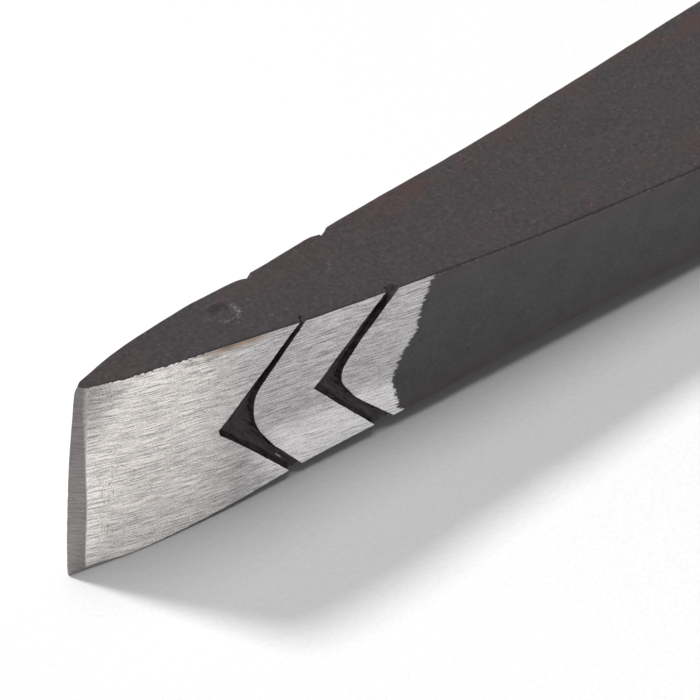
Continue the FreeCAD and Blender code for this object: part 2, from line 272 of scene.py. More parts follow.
def ring_pattern():
    """For each point of a blade section: its place on the core rectangle, the direction of its
    corner's offset, its angle on a round section, and the material of the face after it."""
    core, offset, angle, slots = [], [], [], []
    half_corner = 3.0
    turns = ((BLADE_COLUMNS, SIDE), (BLADE_TOP_COLUMNS, SCALE)) * 2
    for quarter, (columns, slot) in enumerate(turns):
        turn = -90.0 * quarter
        for i in range(columns + 1):
            f = 2 * i / columns - 1
            core.append(((-1, f), (f, 1), (1, -f), (-f, -1))[quarter])
            offset.append(180 + turn)
            angle.append(180 + turn - f * (45 - half_corner))
            slots.append(slot if i < columns else SCALE)
        for i in range(1, CORNER_STEPS):
            g = i / CORNER_STEPS
            core.append(((-1, 1), (1, 1), (1, -1), (-1, -1))[quarter])
            offset.append(180 + turn - 90 * g)
            angle.append(180 + turn - 45 + half_corner * (1 - 2 * g))
            slots.append(SCALE)
    offset = np.radians(offset)
    angle = np.radians(angle)
    return (
        np.array(core, float),
        np.column_stack([np.cos(offset), np.sin(offset)]),
        np.column_stack([np.cos(angle), np.sin(angle)]),
        slots,
    )


def bent_station(station, z):
    """The rows next to the edge follow the edge's and the bevel's own slight curves."""
    nicks = np.abs(rough(np.column_stack([0 * z, 0 * z, z]), 0.3, 9.0, 2))
    edge = EDGE_LINE(z) + BURR * nicks * (1 - smoothstep(-1.5, 1.0, z))
    bevel = BEVEL_LINE(z)
    if station <= BEVEL_ROW:
        return edge + (bevel - edge) * station / BEVEL_ROW
    if station < BEND_ENDS:
        share = (station - BEVEL_ROW) / (BEND_ENDS - BEVEL_ROW)
        return bevel + (BEND_ENDS - bevel) * share
    return np.full_like(z, station)


def wedge_ring(pattern, station):
    """One section of the wedge or shank, from the edge to the bolster's neck."""
    core, offset, circle, _ = pattern
    half_height = float(HEIGHT_AT(station)) / 2
    corner = min(float(CORNER_AT(station)), 0.8 * float(WIDTH_AT(max(station, 0.1))) / 2)
    z = core[:, 1] * (half_height - corner) + offset[:, 1] * corner
    x = bent_station(station, z)
    half_width = WIDTH_AT(x) / 2
    if station < BEVEL_ROW:
        ground = WIDTH_AT(BEVEL_LINE(z)) / 2
        share = station / BEVEL_ROW
        half_width = EDGE_HALF_THICKNESS + (ground - EDGE_HALF_THICKNESS) * share
    corner_width = np.minimum(corner, 0.8 * half_width)
    y = core[:, 0] * (half_width - corner_width) + offset[:, 0] * corner_width
    rounding = float(smoothstep(86, NECK, station))
    radius = (half_width + half_height) / 2
    y = y + (circle[:, 0] * radius - y) * rounding
    z = z + (circle[:, 1] * radius - z) * rounding
    return np.column_stack([x, y, z])


def cranked(points):
    """The straight blade's points where the crank takes them."""
    station, _, z = points.T
    ahead = station < CRANK_START
    step = 0.05
    slope = (MIDDLE_AT(station + step) - MIDDLE_AT(station - step)) / (2 * step)
    turn = np.where(ahead, PITCH, -np.arctan(slope))
    middle = np.where(ahead, -station * math.sin(PITCH), MIDDLE_AT(station))
    shortened = np.minimum(station, CRANK_START) * (1 - math.cos(PITCH))
    along = station - shortened * (1 - smoothstep(CRANK_START, CRANK_SETTLED, station))
    return np.column_stack([along + z * np.sin(turn), points[:, 1], middle + z * np.cos(turn)])


def round_ring(pattern, station, radius):
    """One section of the bolster."""
    circle = pattern[2] * radius
    return np.column_stack([np.full(len(circle), station), circle])


def square_ring(pattern, station, half):
    """One section of the tang, with lightly broken corners."""
    core, offset = pattern[0], pattern[1]
    corner = 0.12 * half
    section = core * (half - corner) + offset * corner
    return np.column_stack([np.full(len(core), station), section])


def blade_rings(pattern):
    """All sections from the edge to the end of the tang."""
    stations = np.concatenate([
        np.linspace(0, BEVEL_ROW, 7)[:-1], np.arange(BEVEL_ROW, 16.8, 0.14),
        np.arange(16.8, 40, 0.35), np.arange(40, NECK, 0.9),
    ])
    rings = [wedge_ring(pattern, s) for s in stations]
    for station in np.arange(NECK, BOLSTER_BACK + 0.01, 0.25):
        rings.append(round_ring(pattern, station, float(BOLSTER_AT(station))))
    back = span("leather_washer")[0][0]
    tang_end = span("blade")[1][0]
    rings.append(square_ring(pattern, back, TANG_ROOT))
    for share in np.linspace(0.02, 1, 30):
        half = TANG_ROOT + (TANG_END - TANG_ROOT) * share
        rings.append(square_ring(pattern, back + (tang_end - back) * share, half))
    return rings


def near_rim(points):
    """How far a point lies below the top or above the bottom of the side face, in mm."""
    return HEIGHT_AT(points[:, 0]) / 2 - np.abs(points[:, 2])


def bare_masks(points):
    """Ahead of the ground part's end, inside its rims, on the bevel, outside the pit, warm."""
    x, z = points[:, 0], points[:, 2]
    rim = near_rim(points)
    top = smoothstep(0.5, 0.9, x) * (1 - smoothstep(5.0, 7.5, x))
    creep = np.where(z > 0, 0.22 * top - 0.15, -0.3)
    bevel = (BEVEL_LINE(z) - x) / (0.05 + 0.1 * smoothstep(0, 5, z))
    low_roll = np.where(z < 0, 0.2 * (1 - smoothstep(0.9, 3.2, x)) - 0.02 - rim, -1.0) / 0.06
    return {
        "bare_back": GROUND_END(z) - x,
        "bare_rim": rim - creep,
        "rim": rim,
        "bevel": np.maximum(bevel, low_roll),
        "pit": pit_distance(points) - 1,
        "warm": warmth(points),
    }


def warmth(points):
    """How brown the scale is: along the far rim of the top face, and the near rim behind."""
    x, y = points[:, 0], points[:, 1]
    half_width = WIDTH_AT(x) / 2
    far = (1 - smoothstep(0.3, 2.0, half_width - y)) * (0.35 + 0.65 * smoothstep(10, 22, x))
    near = (1 - smoothstep(0.4, 2.8, half_width + y)) * smoothstep(17, 24, x)
    return np.maximum(np.maximum(far, near), 0.5 - 0.5 * smoothstep(2, 5, x))


def forge_relief(points, outward):
    """Moves the scale-covered surface in and out as hammer and oxide left it."""
    x, _, z = points.T
    on_side = np.abs(outward[:, 0]) > 0.9
    bare = on_side & (GROUND_END(z) > x + 0.1)
    strength = np.where(bare, 0.0, 1.0) * smoothstep(0.3, 1.2, x) * (x < 113.9)
    strength *= 1 - smoothstep(108, 111, x)
    fine = rough(points, 1.1, 1.0) * 0.013
    middle = rough(points, 4.0, 2.0, 2) * 0.03
    broad = rough(points, 13.0, 3.0, 2) * 0.13 * smoothstep(20, 44, x)
    return strength * (fine + middle + broad) + pit_relief(points, outward)


def far_roll(points):
    """How far the far side rolls in ahead of its grooves, where the chisel pushed the steel."""
    x, y, z = points.T
    depth = 0 * x
    for chevron, (reach, drop) in zip(CHEVRONS, FAR_ROLLS):
        line = np.array(chevron["front"])
        upper = line[line[:, 1] >= 0][::-1]
        ahead = np.interp(np.abs(z), upper[:, 1], upper[:, 0]) - x
        depth += drop * np.exp(-np.maximum(ahead, 0) / reach) * (ahead > -0.15)
    return depth * smoothstep(0.3, 1.0, y / (WIDTH_AT(x) / 2))


def pit_distance(points):
    """How far a point lies from the pit's middle, counted in the pit's own radii."""
    x, y, _ = points.T
    return np.hypot((x - PIT_CENTRE[0]) / PIT_REACH[0], (y - PIT_CENTRE[1]) / PIT_REACH[1])


def pit_relief(points, outward):
    """The shallow crater where a flake of scale came off the top face."""
    reach = pit_distance(points) * (1 + 0.16 * rough(points, 0.35, 6.0, 2))
    bowl = -0.09 * (1 - smoothstep(0.6, 0.95, reach))
    rim = 0.05 * np.exp(-((reach - 1.05) / 0.1) ** 2)
    floor = 0.035 * rough(points, 0.25, 8.0, 2) * (reach < 0.9)
    return (bowl + rim + floor) * (outward[:, 1] > 0.9)


def end_caps(rings, columns):
    """Faces that close the edge, in strips, and the tang's end, in one piece."""
    top = BLADE_COLUMNS + 1
    first_far = top + (CORNER_STEPS - 1) + (BLADE_TOP_COLUMNS + 1) + (CORNER_STEPS - 1)
    strips = []
    for i in range(BLADE_COLUMNS):
        far = first_far + BLADE_COLUMNS - i
        strips.append((i, i + 1, far - 1, far))
    upper = list(range(BLADE_COLUMNS, first_far + 1))
    lower = list(range(first_far + BLADE_COLUMNS, columns)) + [0]
    last = (rings - 1) * columns
    return strips, [upper, lower], list(range(last + columns - 1, last - 1, -1))


def blade_skin():
    """The closed blade without its grooves."""
    pattern = ring_pattern()
    rings = blade_rings(pattern)
    columns = len(pattern[0])
    points = np.concatenate(rings)
    outward = np.tile(pattern[1], (len(rings), 1))
    relief = forge_relief(points, outward)
    relief = np.where(outward[:, 1] < -0.9, -np.abs(relief), relief)
    points[:, 1:] += outward * relief[:, None]
    points[:, 1] -= far_roll(points)
    faces = tube_faces(len(rings), columns, closed=False)
    slots = (pattern[3] * len(rings))[:len(faces)]
    strips, ends, tang = end_caps(len(rings), columns)
    faces += strips + ends + [tang]
    slots += [SIDE] * len(strips) + [SCALE] * 3
    return straight_mesh("blade_skin", points, faces, slots)


# Each chevron in mm, as (distance behind the edge, height over the axis): the line cut towards
# the edge with its point in the middle, and the rounder line behind it.
CHEVRONS = (
    {
        "front": [(10.8, 5.1), (9.87, 4.07), (6.16, 0.0), (6.25, -0.28), (6.9, -0.92),
                  (8.0, -2.2), (9.62, -4.07), (10.5, -5.1)],
        "back": [(11.1, 5.15), (10.2, 4.05), (8.25, 1.65), (7.87, 1.12), (7.77, 0.5),
                 (7.82, -0.1), (8.03, -0.85), (8.75, -2.08), (10.34, -4.07), (11.2, -5.15)],
    },
    {
        "front": [(14.7, 4.6), (13.79, 3.6), (10.61, 0.0), (11.35, -0.9), (13.62, -3.6),
                  (14.5, -4.65)],
        "back": [(15.5, 4.75), (14.55, 3.65), (12.7, 1.5), (12.02, 0.55), (11.88, 0.05),
                 (11.98, -0.45), (12.65, -1.52), (14.67, -3.62), (15.7, -4.65)],
    },
)
# How far ahead of each far groove the side rolls in, and how deep, in mm.
FAR_ROLLS = ((0.34, 0.2), (0.22, 0.13))
GROOVE_DEPTH = 0.27
FAR_DEPTH = 0.9
GROOVE_STEP = 0.07
WALL_LEAN = 0.05
CUTTER_REACH = 0.32
FLOOR_GRID = 0.1
FLOOR_JITTER = 0.03
FLOOR_MARGIN = 0.055
FIRST_SEED = 11
SEED_STEP = 20


def dense_line(points, bend):
    """Points close together along a line, its corners rounded by bend mm."""
    points = np.array(points, float)
    along = np.concatenate([[0], np.cumsum(np.hypot(*np.diff(points, axis=0).T))])
    fine = np.linspace(0, along[-1], int(along[-1] / GROOVE_STEP))
    blurred = np.zeros((len(fine), 2))
    shifts = np.linspace(-bend, bend, 9)
    for shift in shifts:
        place = np.clip(fine + shift, 0, along[-1])
        for axis in (0, 1):
            blurred[:, axis] += np.interp(place, along, points[:, axis])
    return blurred / len(shifts)


def ragged(line, seed, coarse, fine):
    """A line whose points wander sideways, as a struck cut's rim does."""
    direction = np.gradient(line, axis=0)
    direction /= np.maximum(np.hypot(*direction.T)[:, None], 1e-6)
    normal = np.column_stack([-direction[:, 1], direction[:, 0]])
    flat = np.column_stack([line, np.zeros(len(line))])
    wander = rough(flat, 0.9, seed, 2) * coarse + rough(flat, 0.16, seed + 3, 2) * fine
    return line + normal * wander[:, None]


def chevron_outline(chevron, seed):
    """The closed outline of one chevron, front line first."""
    front = ragged(dense_line(chevron["front"], 0.03), seed, 0.02, 0.016)
    back = ragged(dense_line(chevron["back"], 0.3), seed + 7, 0.015, 0.009)
    return np.concatenate([front, back[::-1]])


def inside(outline, place):
    """Whether a place lies inside a closed outline."""
    following = np.roll(outline, -1, axis=0)
    crosses = (outline[:, 1] > place[1]) != (following[:, 1] > place[1])
    rise = np.where(crosses, following[:, 1] - outline[:, 1], 1.0)
    reach = outline[:, 0] + (following[:, 0] - outline[:, 0]) * (place[1] - outline[:, 1]) / rise
    return np.count_nonzero(crosses & (place[0] < reach)) % 2 == 1


def floor_places(outline, seed):
    """Scattered places inside an outline, for the groove's uneven floor."""
    rng = random.Random(seed)
    places = []
    low, high = outline.min(0), outline.max(0)
    for x in np.arange(low[0], high[0], FLOOR_GRID):
        for z in np.arange(low[1], high[1], FLOOR_GRID):
            shift = [rng.uniform(-FLOOR_JITTER, FLOOR_JITTER) for _ in range(2)]
            place = np.array([x + shift[0], z + shift[1]])
            clear = np.hypot(*(outline - place).T).min() > FLOOR_MARGIN
            if clear and inside(outline, place):
                places.append(place)
    return places


def groove_depth(places, front, seed):
    """Depth of the floor under the side face: chisel ridges along the cut and random relief."""
    away = np.array([np.hypot(*(front - p).T).min() for p in places])
    flat = np.column_stack([places, np.zeros(len(places))])
    ridges = np.sin(away * 21 + rough(flat, 1.2, seed, 2) * 1.6) * 0.035
    base = GROOVE_DEPTH * (1 - 0.3 * smoothstep(0.6, 2.4, -flat[:, 1]))
    return base + ridges + rough(flat, 0.45, seed + 1, 3) * 0.045


def groove_cutter(chevron, side, seed):
    """Closed cutter for one groove. side is -1 for the near face and 1 for the far one."""
    outline = chevron_outline(chevron, seed)
    count = len(outline)
    places = np.concatenate([outline, floor_places(outline, seed)])
    found = delaunay_2d_cdt([Vector(p) for p in places], [], [list(range(count))], 1, 1e-6)
    flat = np.array([tuple(v) for v in found[0]])
    source = [min(origins) if origins else -1 for origins in found[3]]
    triangles = [list(face) for face in found[2]]
    direction = np.roll(outline, -1, axis=0) - np.roll(outline, 1, axis=0)
    direction /= np.hypot(*direction.T)[:, None]
    spread = np.zeros_like(flat)
    for i, origin in enumerate(source):
        if 0 <= origin < count:
            spread[i] = (direction[origin][1], -direction[origin][0])
    probe = outline[0] + np.array([direction[0][1], -direction[0][0]]) * 0.05
    if inside(outline, probe):
        spread = -spread
    depth = groove_depth(flat, outline[:count // 2], seed)
    depth *= 1.0 if side < 0 else FAR_DEPTH
    low, high = flat - spread * WALL_LEAN, flat + spread * WALL_LEAN
    floor = np.column_stack([low[:, 0], side * (WIDTH_AT(low[:, 0]) / 2 - depth), low[:, 1]])
    cap_y = side * (WIDTH_AT(high[:, 0]) / 2 + CUTTER_REACH)
    cap = np.column_stack([high[:, 0], cap_y, high[:, 1]])
    return closed_slab(floor, cap, triangles, side)


def closed_slab(floor, cap, triangles, side):
    """Floor and cap with the same triangles, joined by walls. Returns points and faces."""
    count = len(floor)
    edges = {}
    for triangle in triangles:
        for a, b in zip(triangle, triangle[1:] + triangle[:1]):
            edges[(a, b)] = True
    rim = [(a, b) for a, b in edges if (b, a) not in edges]
    faces = [triangle[::-1] for triangle in triangles]
    faces += [[count + i for i in triangle] for triangle in triangles]
    faces += [[a, b, count + b, count + a] for a, b in rim]
    if side > 0:
        faces = [face[::-1] for face in faces]
    return np.concatenate([floor, cap]), faces


def chevron_cutters():
    """The four groove cutters in one mesh, all faces in the groove's material."""
    points, faces, first = [], [], 0
    seed = FIRST_SEED
    for side in (-1, 1):
        for chevron in CHEVRONS:
            slab_points, slab_faces = groove_cutter(chevron, side, seed)
            points.append(slab_points)
            faces += [[first + i for i in face] for face in slab_faces]
            first += len(slab_points)
            seed += SEED_STEP
    mesh = straight_mesh("chevron_cutters", np.concatenate(points), faces)
    mesh.polygons.foreach_set("material_index", [GROOVE] * len(mesh.polygons))
    return mesh


def make_blade(materials):
    """Wedge, shank, bolster and tang in one forging, with its grooves cut."""
    skin, cutters = blade_skin(), chevron_cutters()
    for mesh in (skin, cutters):
        for material in materials:
            mesh.materials.append(material)
    mesh = cut(skin, cutters)
    slots = [p.material_index for p in mesh.polygons]
    piece = laid("blade", mesh, materials, bare_masks(as_array(mesh)),
                 bend=cranked)
    piece.data.polygons.foreach_set("material_index", slots)
    return piece


# ---------------------------------------------------------------- turned pieces

WASHER_BORE = 4.775
FERRULE_WALL = 1.2
HOOP_WALL = 1.4
PIN_RADIUS = 0.8
PIN_STEPS = 40
FERRULE_HOLE = 0.82
HANDLE_HOLE = 0.83
HOLE_STEPS = 48


def extent(node):
    """Front and back station of a turned node, and its outer radius."""
    low, high = span(node)
    return low[0], high[0], high[1]


def circle(steps):
    """Equal angles around the axis."""
    return np.linspace(0, 2 * math.pi, steps, endpoint=False)


def polar_ring(x, radius):
    """A section from one radius, or from radii at equal angles."""
    angles = circle(TURNED_STEPS)
    radius = radius * np.ones(TURNED_STEPS)
    return np.column_stack([
        np.full(TURNED_STEPS, x), radius * np.cos(angles), radius * np.sin(angles),
    ])


def capped(faces, rings, columns):
    """The faces of an open tube with a flat end added at its first and last ring."""
    last = (rings - 1) * columns
    return faces + [tuple(range(columns - 1, -1, -1)), tuple(range(last, last + columns))]


def eased(profile, radius, steps=4):
    """A closed profile of (x, r) corners, each rounded by about radius mm."""
    points = []
    profile = [np.array(p, float) for p in profile]
    for i, corner in enumerate(profile):
        before, after = profile[i - 1], profile[(i + 1) % len(profile)]
        reach = [min(radius, np.linalg.norm(p - corner) * 0.45) for p in (before, after)]
        start = corner + (before - corner) / np.linalg.norm(before - corner) * reach[0]
        end = corner + (after - corner) / np.linalg.norm(after - corner) * reach[1]
        for t in np.linspace(0, 1, steps + 1):
            points.append((1 - t) ** 2 * start + 2 * t * (1 - t) * corner + t * t * end)
    return points


def divided(profile, step):
    """A closed profile with extra points, none further apart than step mm."""
    points = []
    for i, point in enumerate(profile):
        following = profile[(i + 1) % len(profile)]
        count = max(1, int(np.linalg.norm(following - point) / step))
        points += [point + (following - point) * k / count for k in range(count)]
    return points


def off_axis(points):
    """How far each point is from the axis, in mm."""
    return np.hypot(points[:, 1], points[:, 2])


def swell(points, move):
    """Moves each point away from the axis by its own amount in mm."""
    reach = off_axis(points)
    points[:, 1:] *= ((reach + move) / np.maximum(reach, 0.1))[:, None]


def turned_ring(name, profile, wander, size, seed):
    """A closed profile turned about the axis, its surface wandering by that much."""
    points = np.concatenate([polar_ring(x, r) for x, r in profile])
    swell(points, -np.abs(rough(points, size, seed)) * wander)
    return straight_mesh(name, points, tube_faces(len(profile), TURNED_STEPS, closed=True))


def rim_wear(mesh, front, back, radius):
    """How far each vertex is from the ring's outer rims, in mm."""
    points = as_array(mesh)
    end = np.minimum(points[:, 0] - front, back - points[:, 0])
    return {"rim": np.maximum(end, 0) + np.maximum(radius - off_axis(points), 0)}


def make_washer(material):
    """Leather disc, squeezed so that its rim bulges a little between bolster and handle."""
    front, back, outer = extent("leather_washer")
    middle = (front + back) / 2
    profile = divided(eased([
        (front + 0.02, WASHER_BORE), (back - 0.02, WASHER_BORE), (back - 0.02, outer - 0.35),
        (middle + 0.4, outer), (middle - 0.4, outer), (front + 0.02, outer - 0.35),
    ], 0.3), 0.25)
    mesh = turned_ring("washer", profile, 0.16, 1.6, 4.0)
    return laid("leather_washer", mesh, [material],
                rim_wear(mesh, front, back, outer), crease=60)


def upright_skin(name, rows, steps):
    """A closed skin turned about the pin's upright axis, from rows of height and radius."""
    low, high = span("ferrule_pin")
    station = (low[0] + high[0]) / 2
    points = []
    for z, r in rows:
        points += [(station + r * math.cos(a), r * math.sin(a), z) for a in circle(steps)]
    faces = [(i, j, v, u) for i, u, v, j in tube_faces(len(rows), steps, closed=False)]
    return straight_mesh(name, points, capped(faces, len(rows), steps))


def drilled(mesh, radius, sunk, top):
    """A mesh less the pin's hole, which ends that far below the pin's foot."""
    foot = span("ferrule_pin")[0][2]
    rows = [(foot - sunk, radius), (top, radius)]
    return cut(mesh, upright_skin("pin_cutter", rows, HOLE_STEPS))


def make_ferrule(material):
    """Brass ring with a chamfered mouth, two fine turned lines and the pin's hole."""
    front, back, outer = extent("ferrule")
    bore = outer - FERRULE_WALL
    corners = [(front, bore + 0.15), (front + 0.15, bore), (back - 0.15, bore),
               (back, bore + 0.15), (back, outer - 0.22), (back - 0.22, outer)]
    for station in (back - 1.7, front + 2.1):
        corners += [(station + 0.16, outer), (station, outer - 0.14), (station - 0.16, outer)]
    corners += [(front + 0.5, outer), (front, outer - 0.5)]
    profile = divided(eased(corners, 0.09, 3), 0.6)
    mesh = turned_ring("ferrule", profile, 0.02, 5.0, 2.0)
    mesh = drilled(mesh, FERRULE_HOLE, 0.0, outer + 1.0)
    return laid("ferrule", mesh, [material], rim_wear(mesh, front, back, outer))


def make_pin(material):
    """Round pin, its outer end filed nearly flush and a little domed."""
    low, high = span("ferrule_pin")
    foot, head = low[2], high[2]
    rows = [(foot, PIN_RADIUS - 0.1), (foot + 0.15, PIN_RADIUS)]
    rows += [(z, PIN_RADIUS) for z in np.linspace(foot + 1, head - 0.2, 6)]
    rows += [(head - 0.09, PIN_RADIUS - 0.02), (head - 0.04, PIN_RADIUS - 0.1),
             (head - 0.015, 0.5), (head, 0.25)]
    mesh = upright_skin("pin", rows, PIN_STEPS)
    return laid("ferrule_pin", mesh, [material])


def make_hoop(material):
    """Blackened ring with rounded rims and shallow hammer flats."""
    front, back, outer = extent("butt_hoop")
    bore = outer - HOOP_WALL
    corners = [(front, bore), (back, bore), (back, outer), (front, outer)]
    profile = divided(eased(corners, 0.4, 5), 0.5)
    mesh = turned_ring("hoop", profile, 0.12, 3.2, 5.0)
    return laid("butt_hoop", mesh, [material],
                rim_wear(mesh, front, back, outer))


# ---------------------------------------------------------------- handle

SWELL_STATION = 204.0
TANG_HOLE_END = 186.0
TANG_PLAY = 0.1
TENON_PLAY = 0.04
BUTT_FALL = 1.2
FACET_ANGLE = math.radians(45)
ARRIS_EASE = 0.35


def soft_min(a, b, softness):
    """The lesser of two values, with the change from one to the other rounded off."""
    share = np.clip(0.5 + 0.5 * (b - a) / softness, 0, 1)
    return b + (a - b) * share - softness * share * (1 - share)


def handle_sections():
    """Functions of the station: half width over the flats, and the turned blank's radius."""
    shoulder = extent("ferrule")[1]
    hoop_front, _, hoop_radius = extent("butt_hoop")
    swell = extent("handle")[2]
    sine, cosine = -LAY[0][2], LAY[0][0]
    rise = sine / cosine
    fall = BUTT_FALL / (hoop_front - SWELL_STATION)

    def flat(x):
        front = swell - (SWELL_STATION - x) * rise
        back = swell - (x - SWELL_STATION) * fall
        return soft_min(front, back, 0.3)

    def full(x):
        return float(flat(x)) / math.cos(FACET_ANGLE / 2) - ARRIS_EASE

    blank = smooth_curve(
        [(shoulder, 9.5), (shoulder + 0.5, 9.95), (shoulder + 2, 10.55),
         (shoulder + 5, full(shoulder + 5))]
        + [(x, full(x)) for x in np.arange(shoulder + 9, hoop_front - 5, 4)]
        + [(hoop_front - 4.5, full(hoop_front - 4.5)), (hoop_front - 1.5, hoop_radius + 0.55),
           (hoop_front - 0.4, hoop_radius + 0.3), (hoop_front, hoop_radius)]
    )
    return flat, blank


def facet_ring(x, flat, blank):
    """One section of the handle where the planed facets meet the turned blank."""
    turn = (circle(TURNED_STEPS) + FACET_ANGLE / 2) % FACET_ANGLE - FACET_ANGLE / 2
    radius = soft_min(flat(x) / np.cos(turn), float(blank(x)), 0.12)
    return polar_ring(x, radius)


def square_hole_ring(x, half):
    """A section of the square tang hole."""
    turn = (circle(TURNED_STEPS) + math.pi / 4) % (math.pi / 2) - math.pi / 4
    return polar_ring(x, half / np.cos(turn))


def handle_rings():
    """All sections of the handle: from the hole's floor out to the front, then to the butt."""
    flat, blank = handle_sections()
    washer_back = extent("leather_washer")[1]
    _, shoulder, ferrule_radius = extent("ferrule")
    hoop_front, hoop_back, hoop_radius = extent("butt_hoop")
    end = extent("handle")[1]
    tenon = ferrule_radius - FERRULE_WALL - TENON_PLAY
    butt = hoop_radius - HOOP_WALL - TENON_PLAY
    taper = (TANG_ROOT - TANG_END) / TANG_LENGTH
    hole_front = TANG_ROOT + TANG_PLAY - (washer_back - BOLSTER_BACK) * taper
    rings = [square_hole_ring(TANG_HOLE_END, TANG_END + TANG_PLAY)]
    rings += [square_hole_ring(washer_back, hole_front)]
    rings += [polar_ring(washer_back, tenon - 0.3), polar_ring(washer_back + 0.3, tenon)]
    rings += [polar_ring(shoulder, tenon), polar_ring(shoulder, 9.3)]
    rings += [facet_ring(x, flat, blank) for x in np.linspace(shoulder + 0.05, hoop_front, 150)]
    rings += [polar_ring(hoop_front, butt), polar_ring(hoop_back, butt)]
    rings += [polar_ring(end - 0.8, butt), polar_ring(end - 0.45, butt - 0.15)]
    rings += [polar_ring(end - 0.15, butt - 0.45), polar_ring(end, butt - 0.8)]
    rings += [polar_ring(end, r) for r in np.linspace(butt - 1.3, 0.5, 14)]
    return rings


def make_handle(material):
    """Octagonal ash handle with its tang hole, planed facets and end grain at the butt."""
    rings = handle_rings()
    faces = tube_faces(len(rings), TURNED_STEPS, closed=False)
    mesh = straight_mesh("handle", planed(np.concatenate(rings)),
                         capped(faces, len(rings), TURNED_STEPS))
    mesh = drilled(mesh, HANDLE_HOLE, 0.05, 12.0)
    return laid("handle", mesh, [material], crease=50)


def planed(points):
    """Leaves the marks of plane and mallet: shallow hollows on the facets, dents in the butt."""
    shoulder = extent("ferrule")[1]
    hoop_front, hoop_back, _ = extent("butt_hoop")
    end = extent("handle")[1]
    x = points[:, 0]
    stretched = points * np.array([0.22, 1.0, 1.0])
    outside = (x > shoulder + 0.5) & (x < hoop_front - 0.3) & (off_axis(points) > 9)
    swell(points, -np.abs(rough(stretched, 2.4, 3.0, 2)) * 0.06 * outside)
    butt = x > hoop_back + 0.4
    points[:, 0] -= np.abs(rough(points, 2.6, 5.0, 3)) * 0.28 * butt * (x > end - 0.9)
    return points


# ---------------------------------------------------------------- material helpers

class Value:
    """A number that a node gives. Arithmetic on it adds math nodes."""

    def __init__(self, nodes, socket):
        self.nodes = nodes
        self.socket = socket

    def __add__(self, other):
        return self.nodes.math("ADD", self, other)

    def __sub__(self, other):
        return self.nodes.math("SUBTRACT", self, other)

    def __rsub__(self, other):
        return self.nodes.math("SUBTRACT", other, self)

    def __mul__(self, other):
        return self.nodes.math("MULTIPLY", self, other)

    def __abs__(self):
        return self.nodes.math("ABSOLUTE", self)

    def ramp(self, low, high, start=0.0, end=1.0):
        """Smoothly maps low..high to start..end."""
        made = self.nodes.node("MapRange", {
            "Value": self, "From Min": low, "From Max": high, "To Min": start, "To Max": end,
        }, interpolation_type="SMOOTHSTEP")
        return Value(self.nodes, made.outputs["Result"])


class Nodes:
    """A node tree under construction."""

    def __init__(self, tree):
        self.tree = tree

    def node(self, kind, inputs=None, **settings):
        """Adds a node. inputs gives values or sockets by the input's name or number."""
        made = self.tree.nodes.new("ShaderNode" + kind)
        for key, value in settings.items():
            setattr(made, key, value)
        for key, value in (inputs or {}).items():
            self.feed(made.inputs[key], value)
        return made

    def feed(self, socket, value):
        """Links or sets one input."""
        if isinstance(value, Value):
            value = value.socket
        if isinstance(value, bpy.types.NodeSocket):
            self.tree.links.new(value, socket)
        else:
            socket.default_value = value

    def math(self, operation, a, b=0.0, clamp=False):
        """A math node's result."""
        made = self.node("Math", {0: a, 1: b}, operation=operation, use_clamp=clamp)
        return Value(self, made.outputs[0])

    def vector(self, operation, a, b):
        """A vector math node's result."""
        return self.node("VectorMath", {0: a, 1: b}, operation=operation).outputs[0]

    def length(self, vector):
        """How long a vector is."""
        made = self.node("VectorMath", {0: vector}, operation="LENGTH")
        return Value(self, made.outputs["Value"])

    def point(self, x, y, z=0.0):
        """A place from its coordinates."""
        return self.node("CombineXYZ", {0: x, 1: y, 2: z}).outputs[0]

    def noise(self, place, scale=1.0, detail=3.0, roughness=0.55, stretch=None):
        """Noise of about 0 to 1 at a place, whose axes may first be stretched."""
        if stretch:
            place = self.vector("MULTIPLY", place, stretch)
        made = self.node("TexNoise", {
            "Vector": place, "Scale": scale, "Detail": detail, "Roughness": roughness,
        })
        return Value(self, made.outputs["Fac"])

    def mix(self, share, a, b):
        """A mix of two numbers."""
        made = self.node("Mix", {0: share, 2: a, 3: b}, data_type="FLOAT")
        return Value(self, made.outputs[0])

    def blend(self, share, a, b, kind="MIX"):
        """A mix of two colours."""
        made = self.node("Mix", {0: share, 6: a, 7: b}, data_type="RGBA", blend_type=kind)
        return made.outputs[2]

    def layered(self, colour, *layers):
        """A colour under others, each given as its share and itself."""
        for share, tone in layers:
            colour = self.blend(share, colour, tone)
        return colour

    def multiply(self, a, b):
        """One colour times another."""
        return self.blend(1.0, a, b, "MULTIPLY")

    def grey(self, tone):
        """A grey of that tone."""
        return self.node("CombineColor", {0: tone, 1: tone, 2: tone}).outputs[0]

    def tinted(self, colour, factor):
        """A colour made lighter or darker by a factor."""
        return self.multiply(colour, self.grey(factor))

    def bump(self, height, distance, strength):
        """A normal bent by a height between 0 and 1, of that distance in metres."""
        inputs = {"Height": height, "Distance": distance, "Strength": strength}
        return self.node("Bump", inputs).outputs["Normal"]


class Shade(Nodes):
    """A material under construction."""

    def __init__(self, name):
        self.material = bpy.data.materials.new(name)
        self.material.use_nodes = True
        super().__init__(self.material.node_tree)
        self.shader = self.tree.nodes["Principled BSDF"]

    def mask(self, name):
        """A number kept on the vertices."""
        return Value(self, self.node("Attribute", attribute_name=name).outputs["Fac"])

    def place(self):
        """The straight place in mm, and its three coordinates."""
        place = self.node("Attribute", attribute_name="straight").outputs["Vector"]
        axes = self.node("SeparateXYZ", {0: place}).outputs
        return place, *(Value(self, axis) for axis in axes)

    def finish(self, colour, roughness, normal, metallic=0.0, gloss=None):
        """Feeds the shader. gloss is its constant specular level, if not the usual one."""
        given = {"Base Color": colour, "Roughness": roughness, "Normal": normal,
                 "Metallic": metallic}
        for name, value in given.items():
            self.feed(self.shader.inputs[name], value)
        if gloss is not None:
            self.shader.inputs["Specular IOR Level"].default_value = gloss
        return self.material


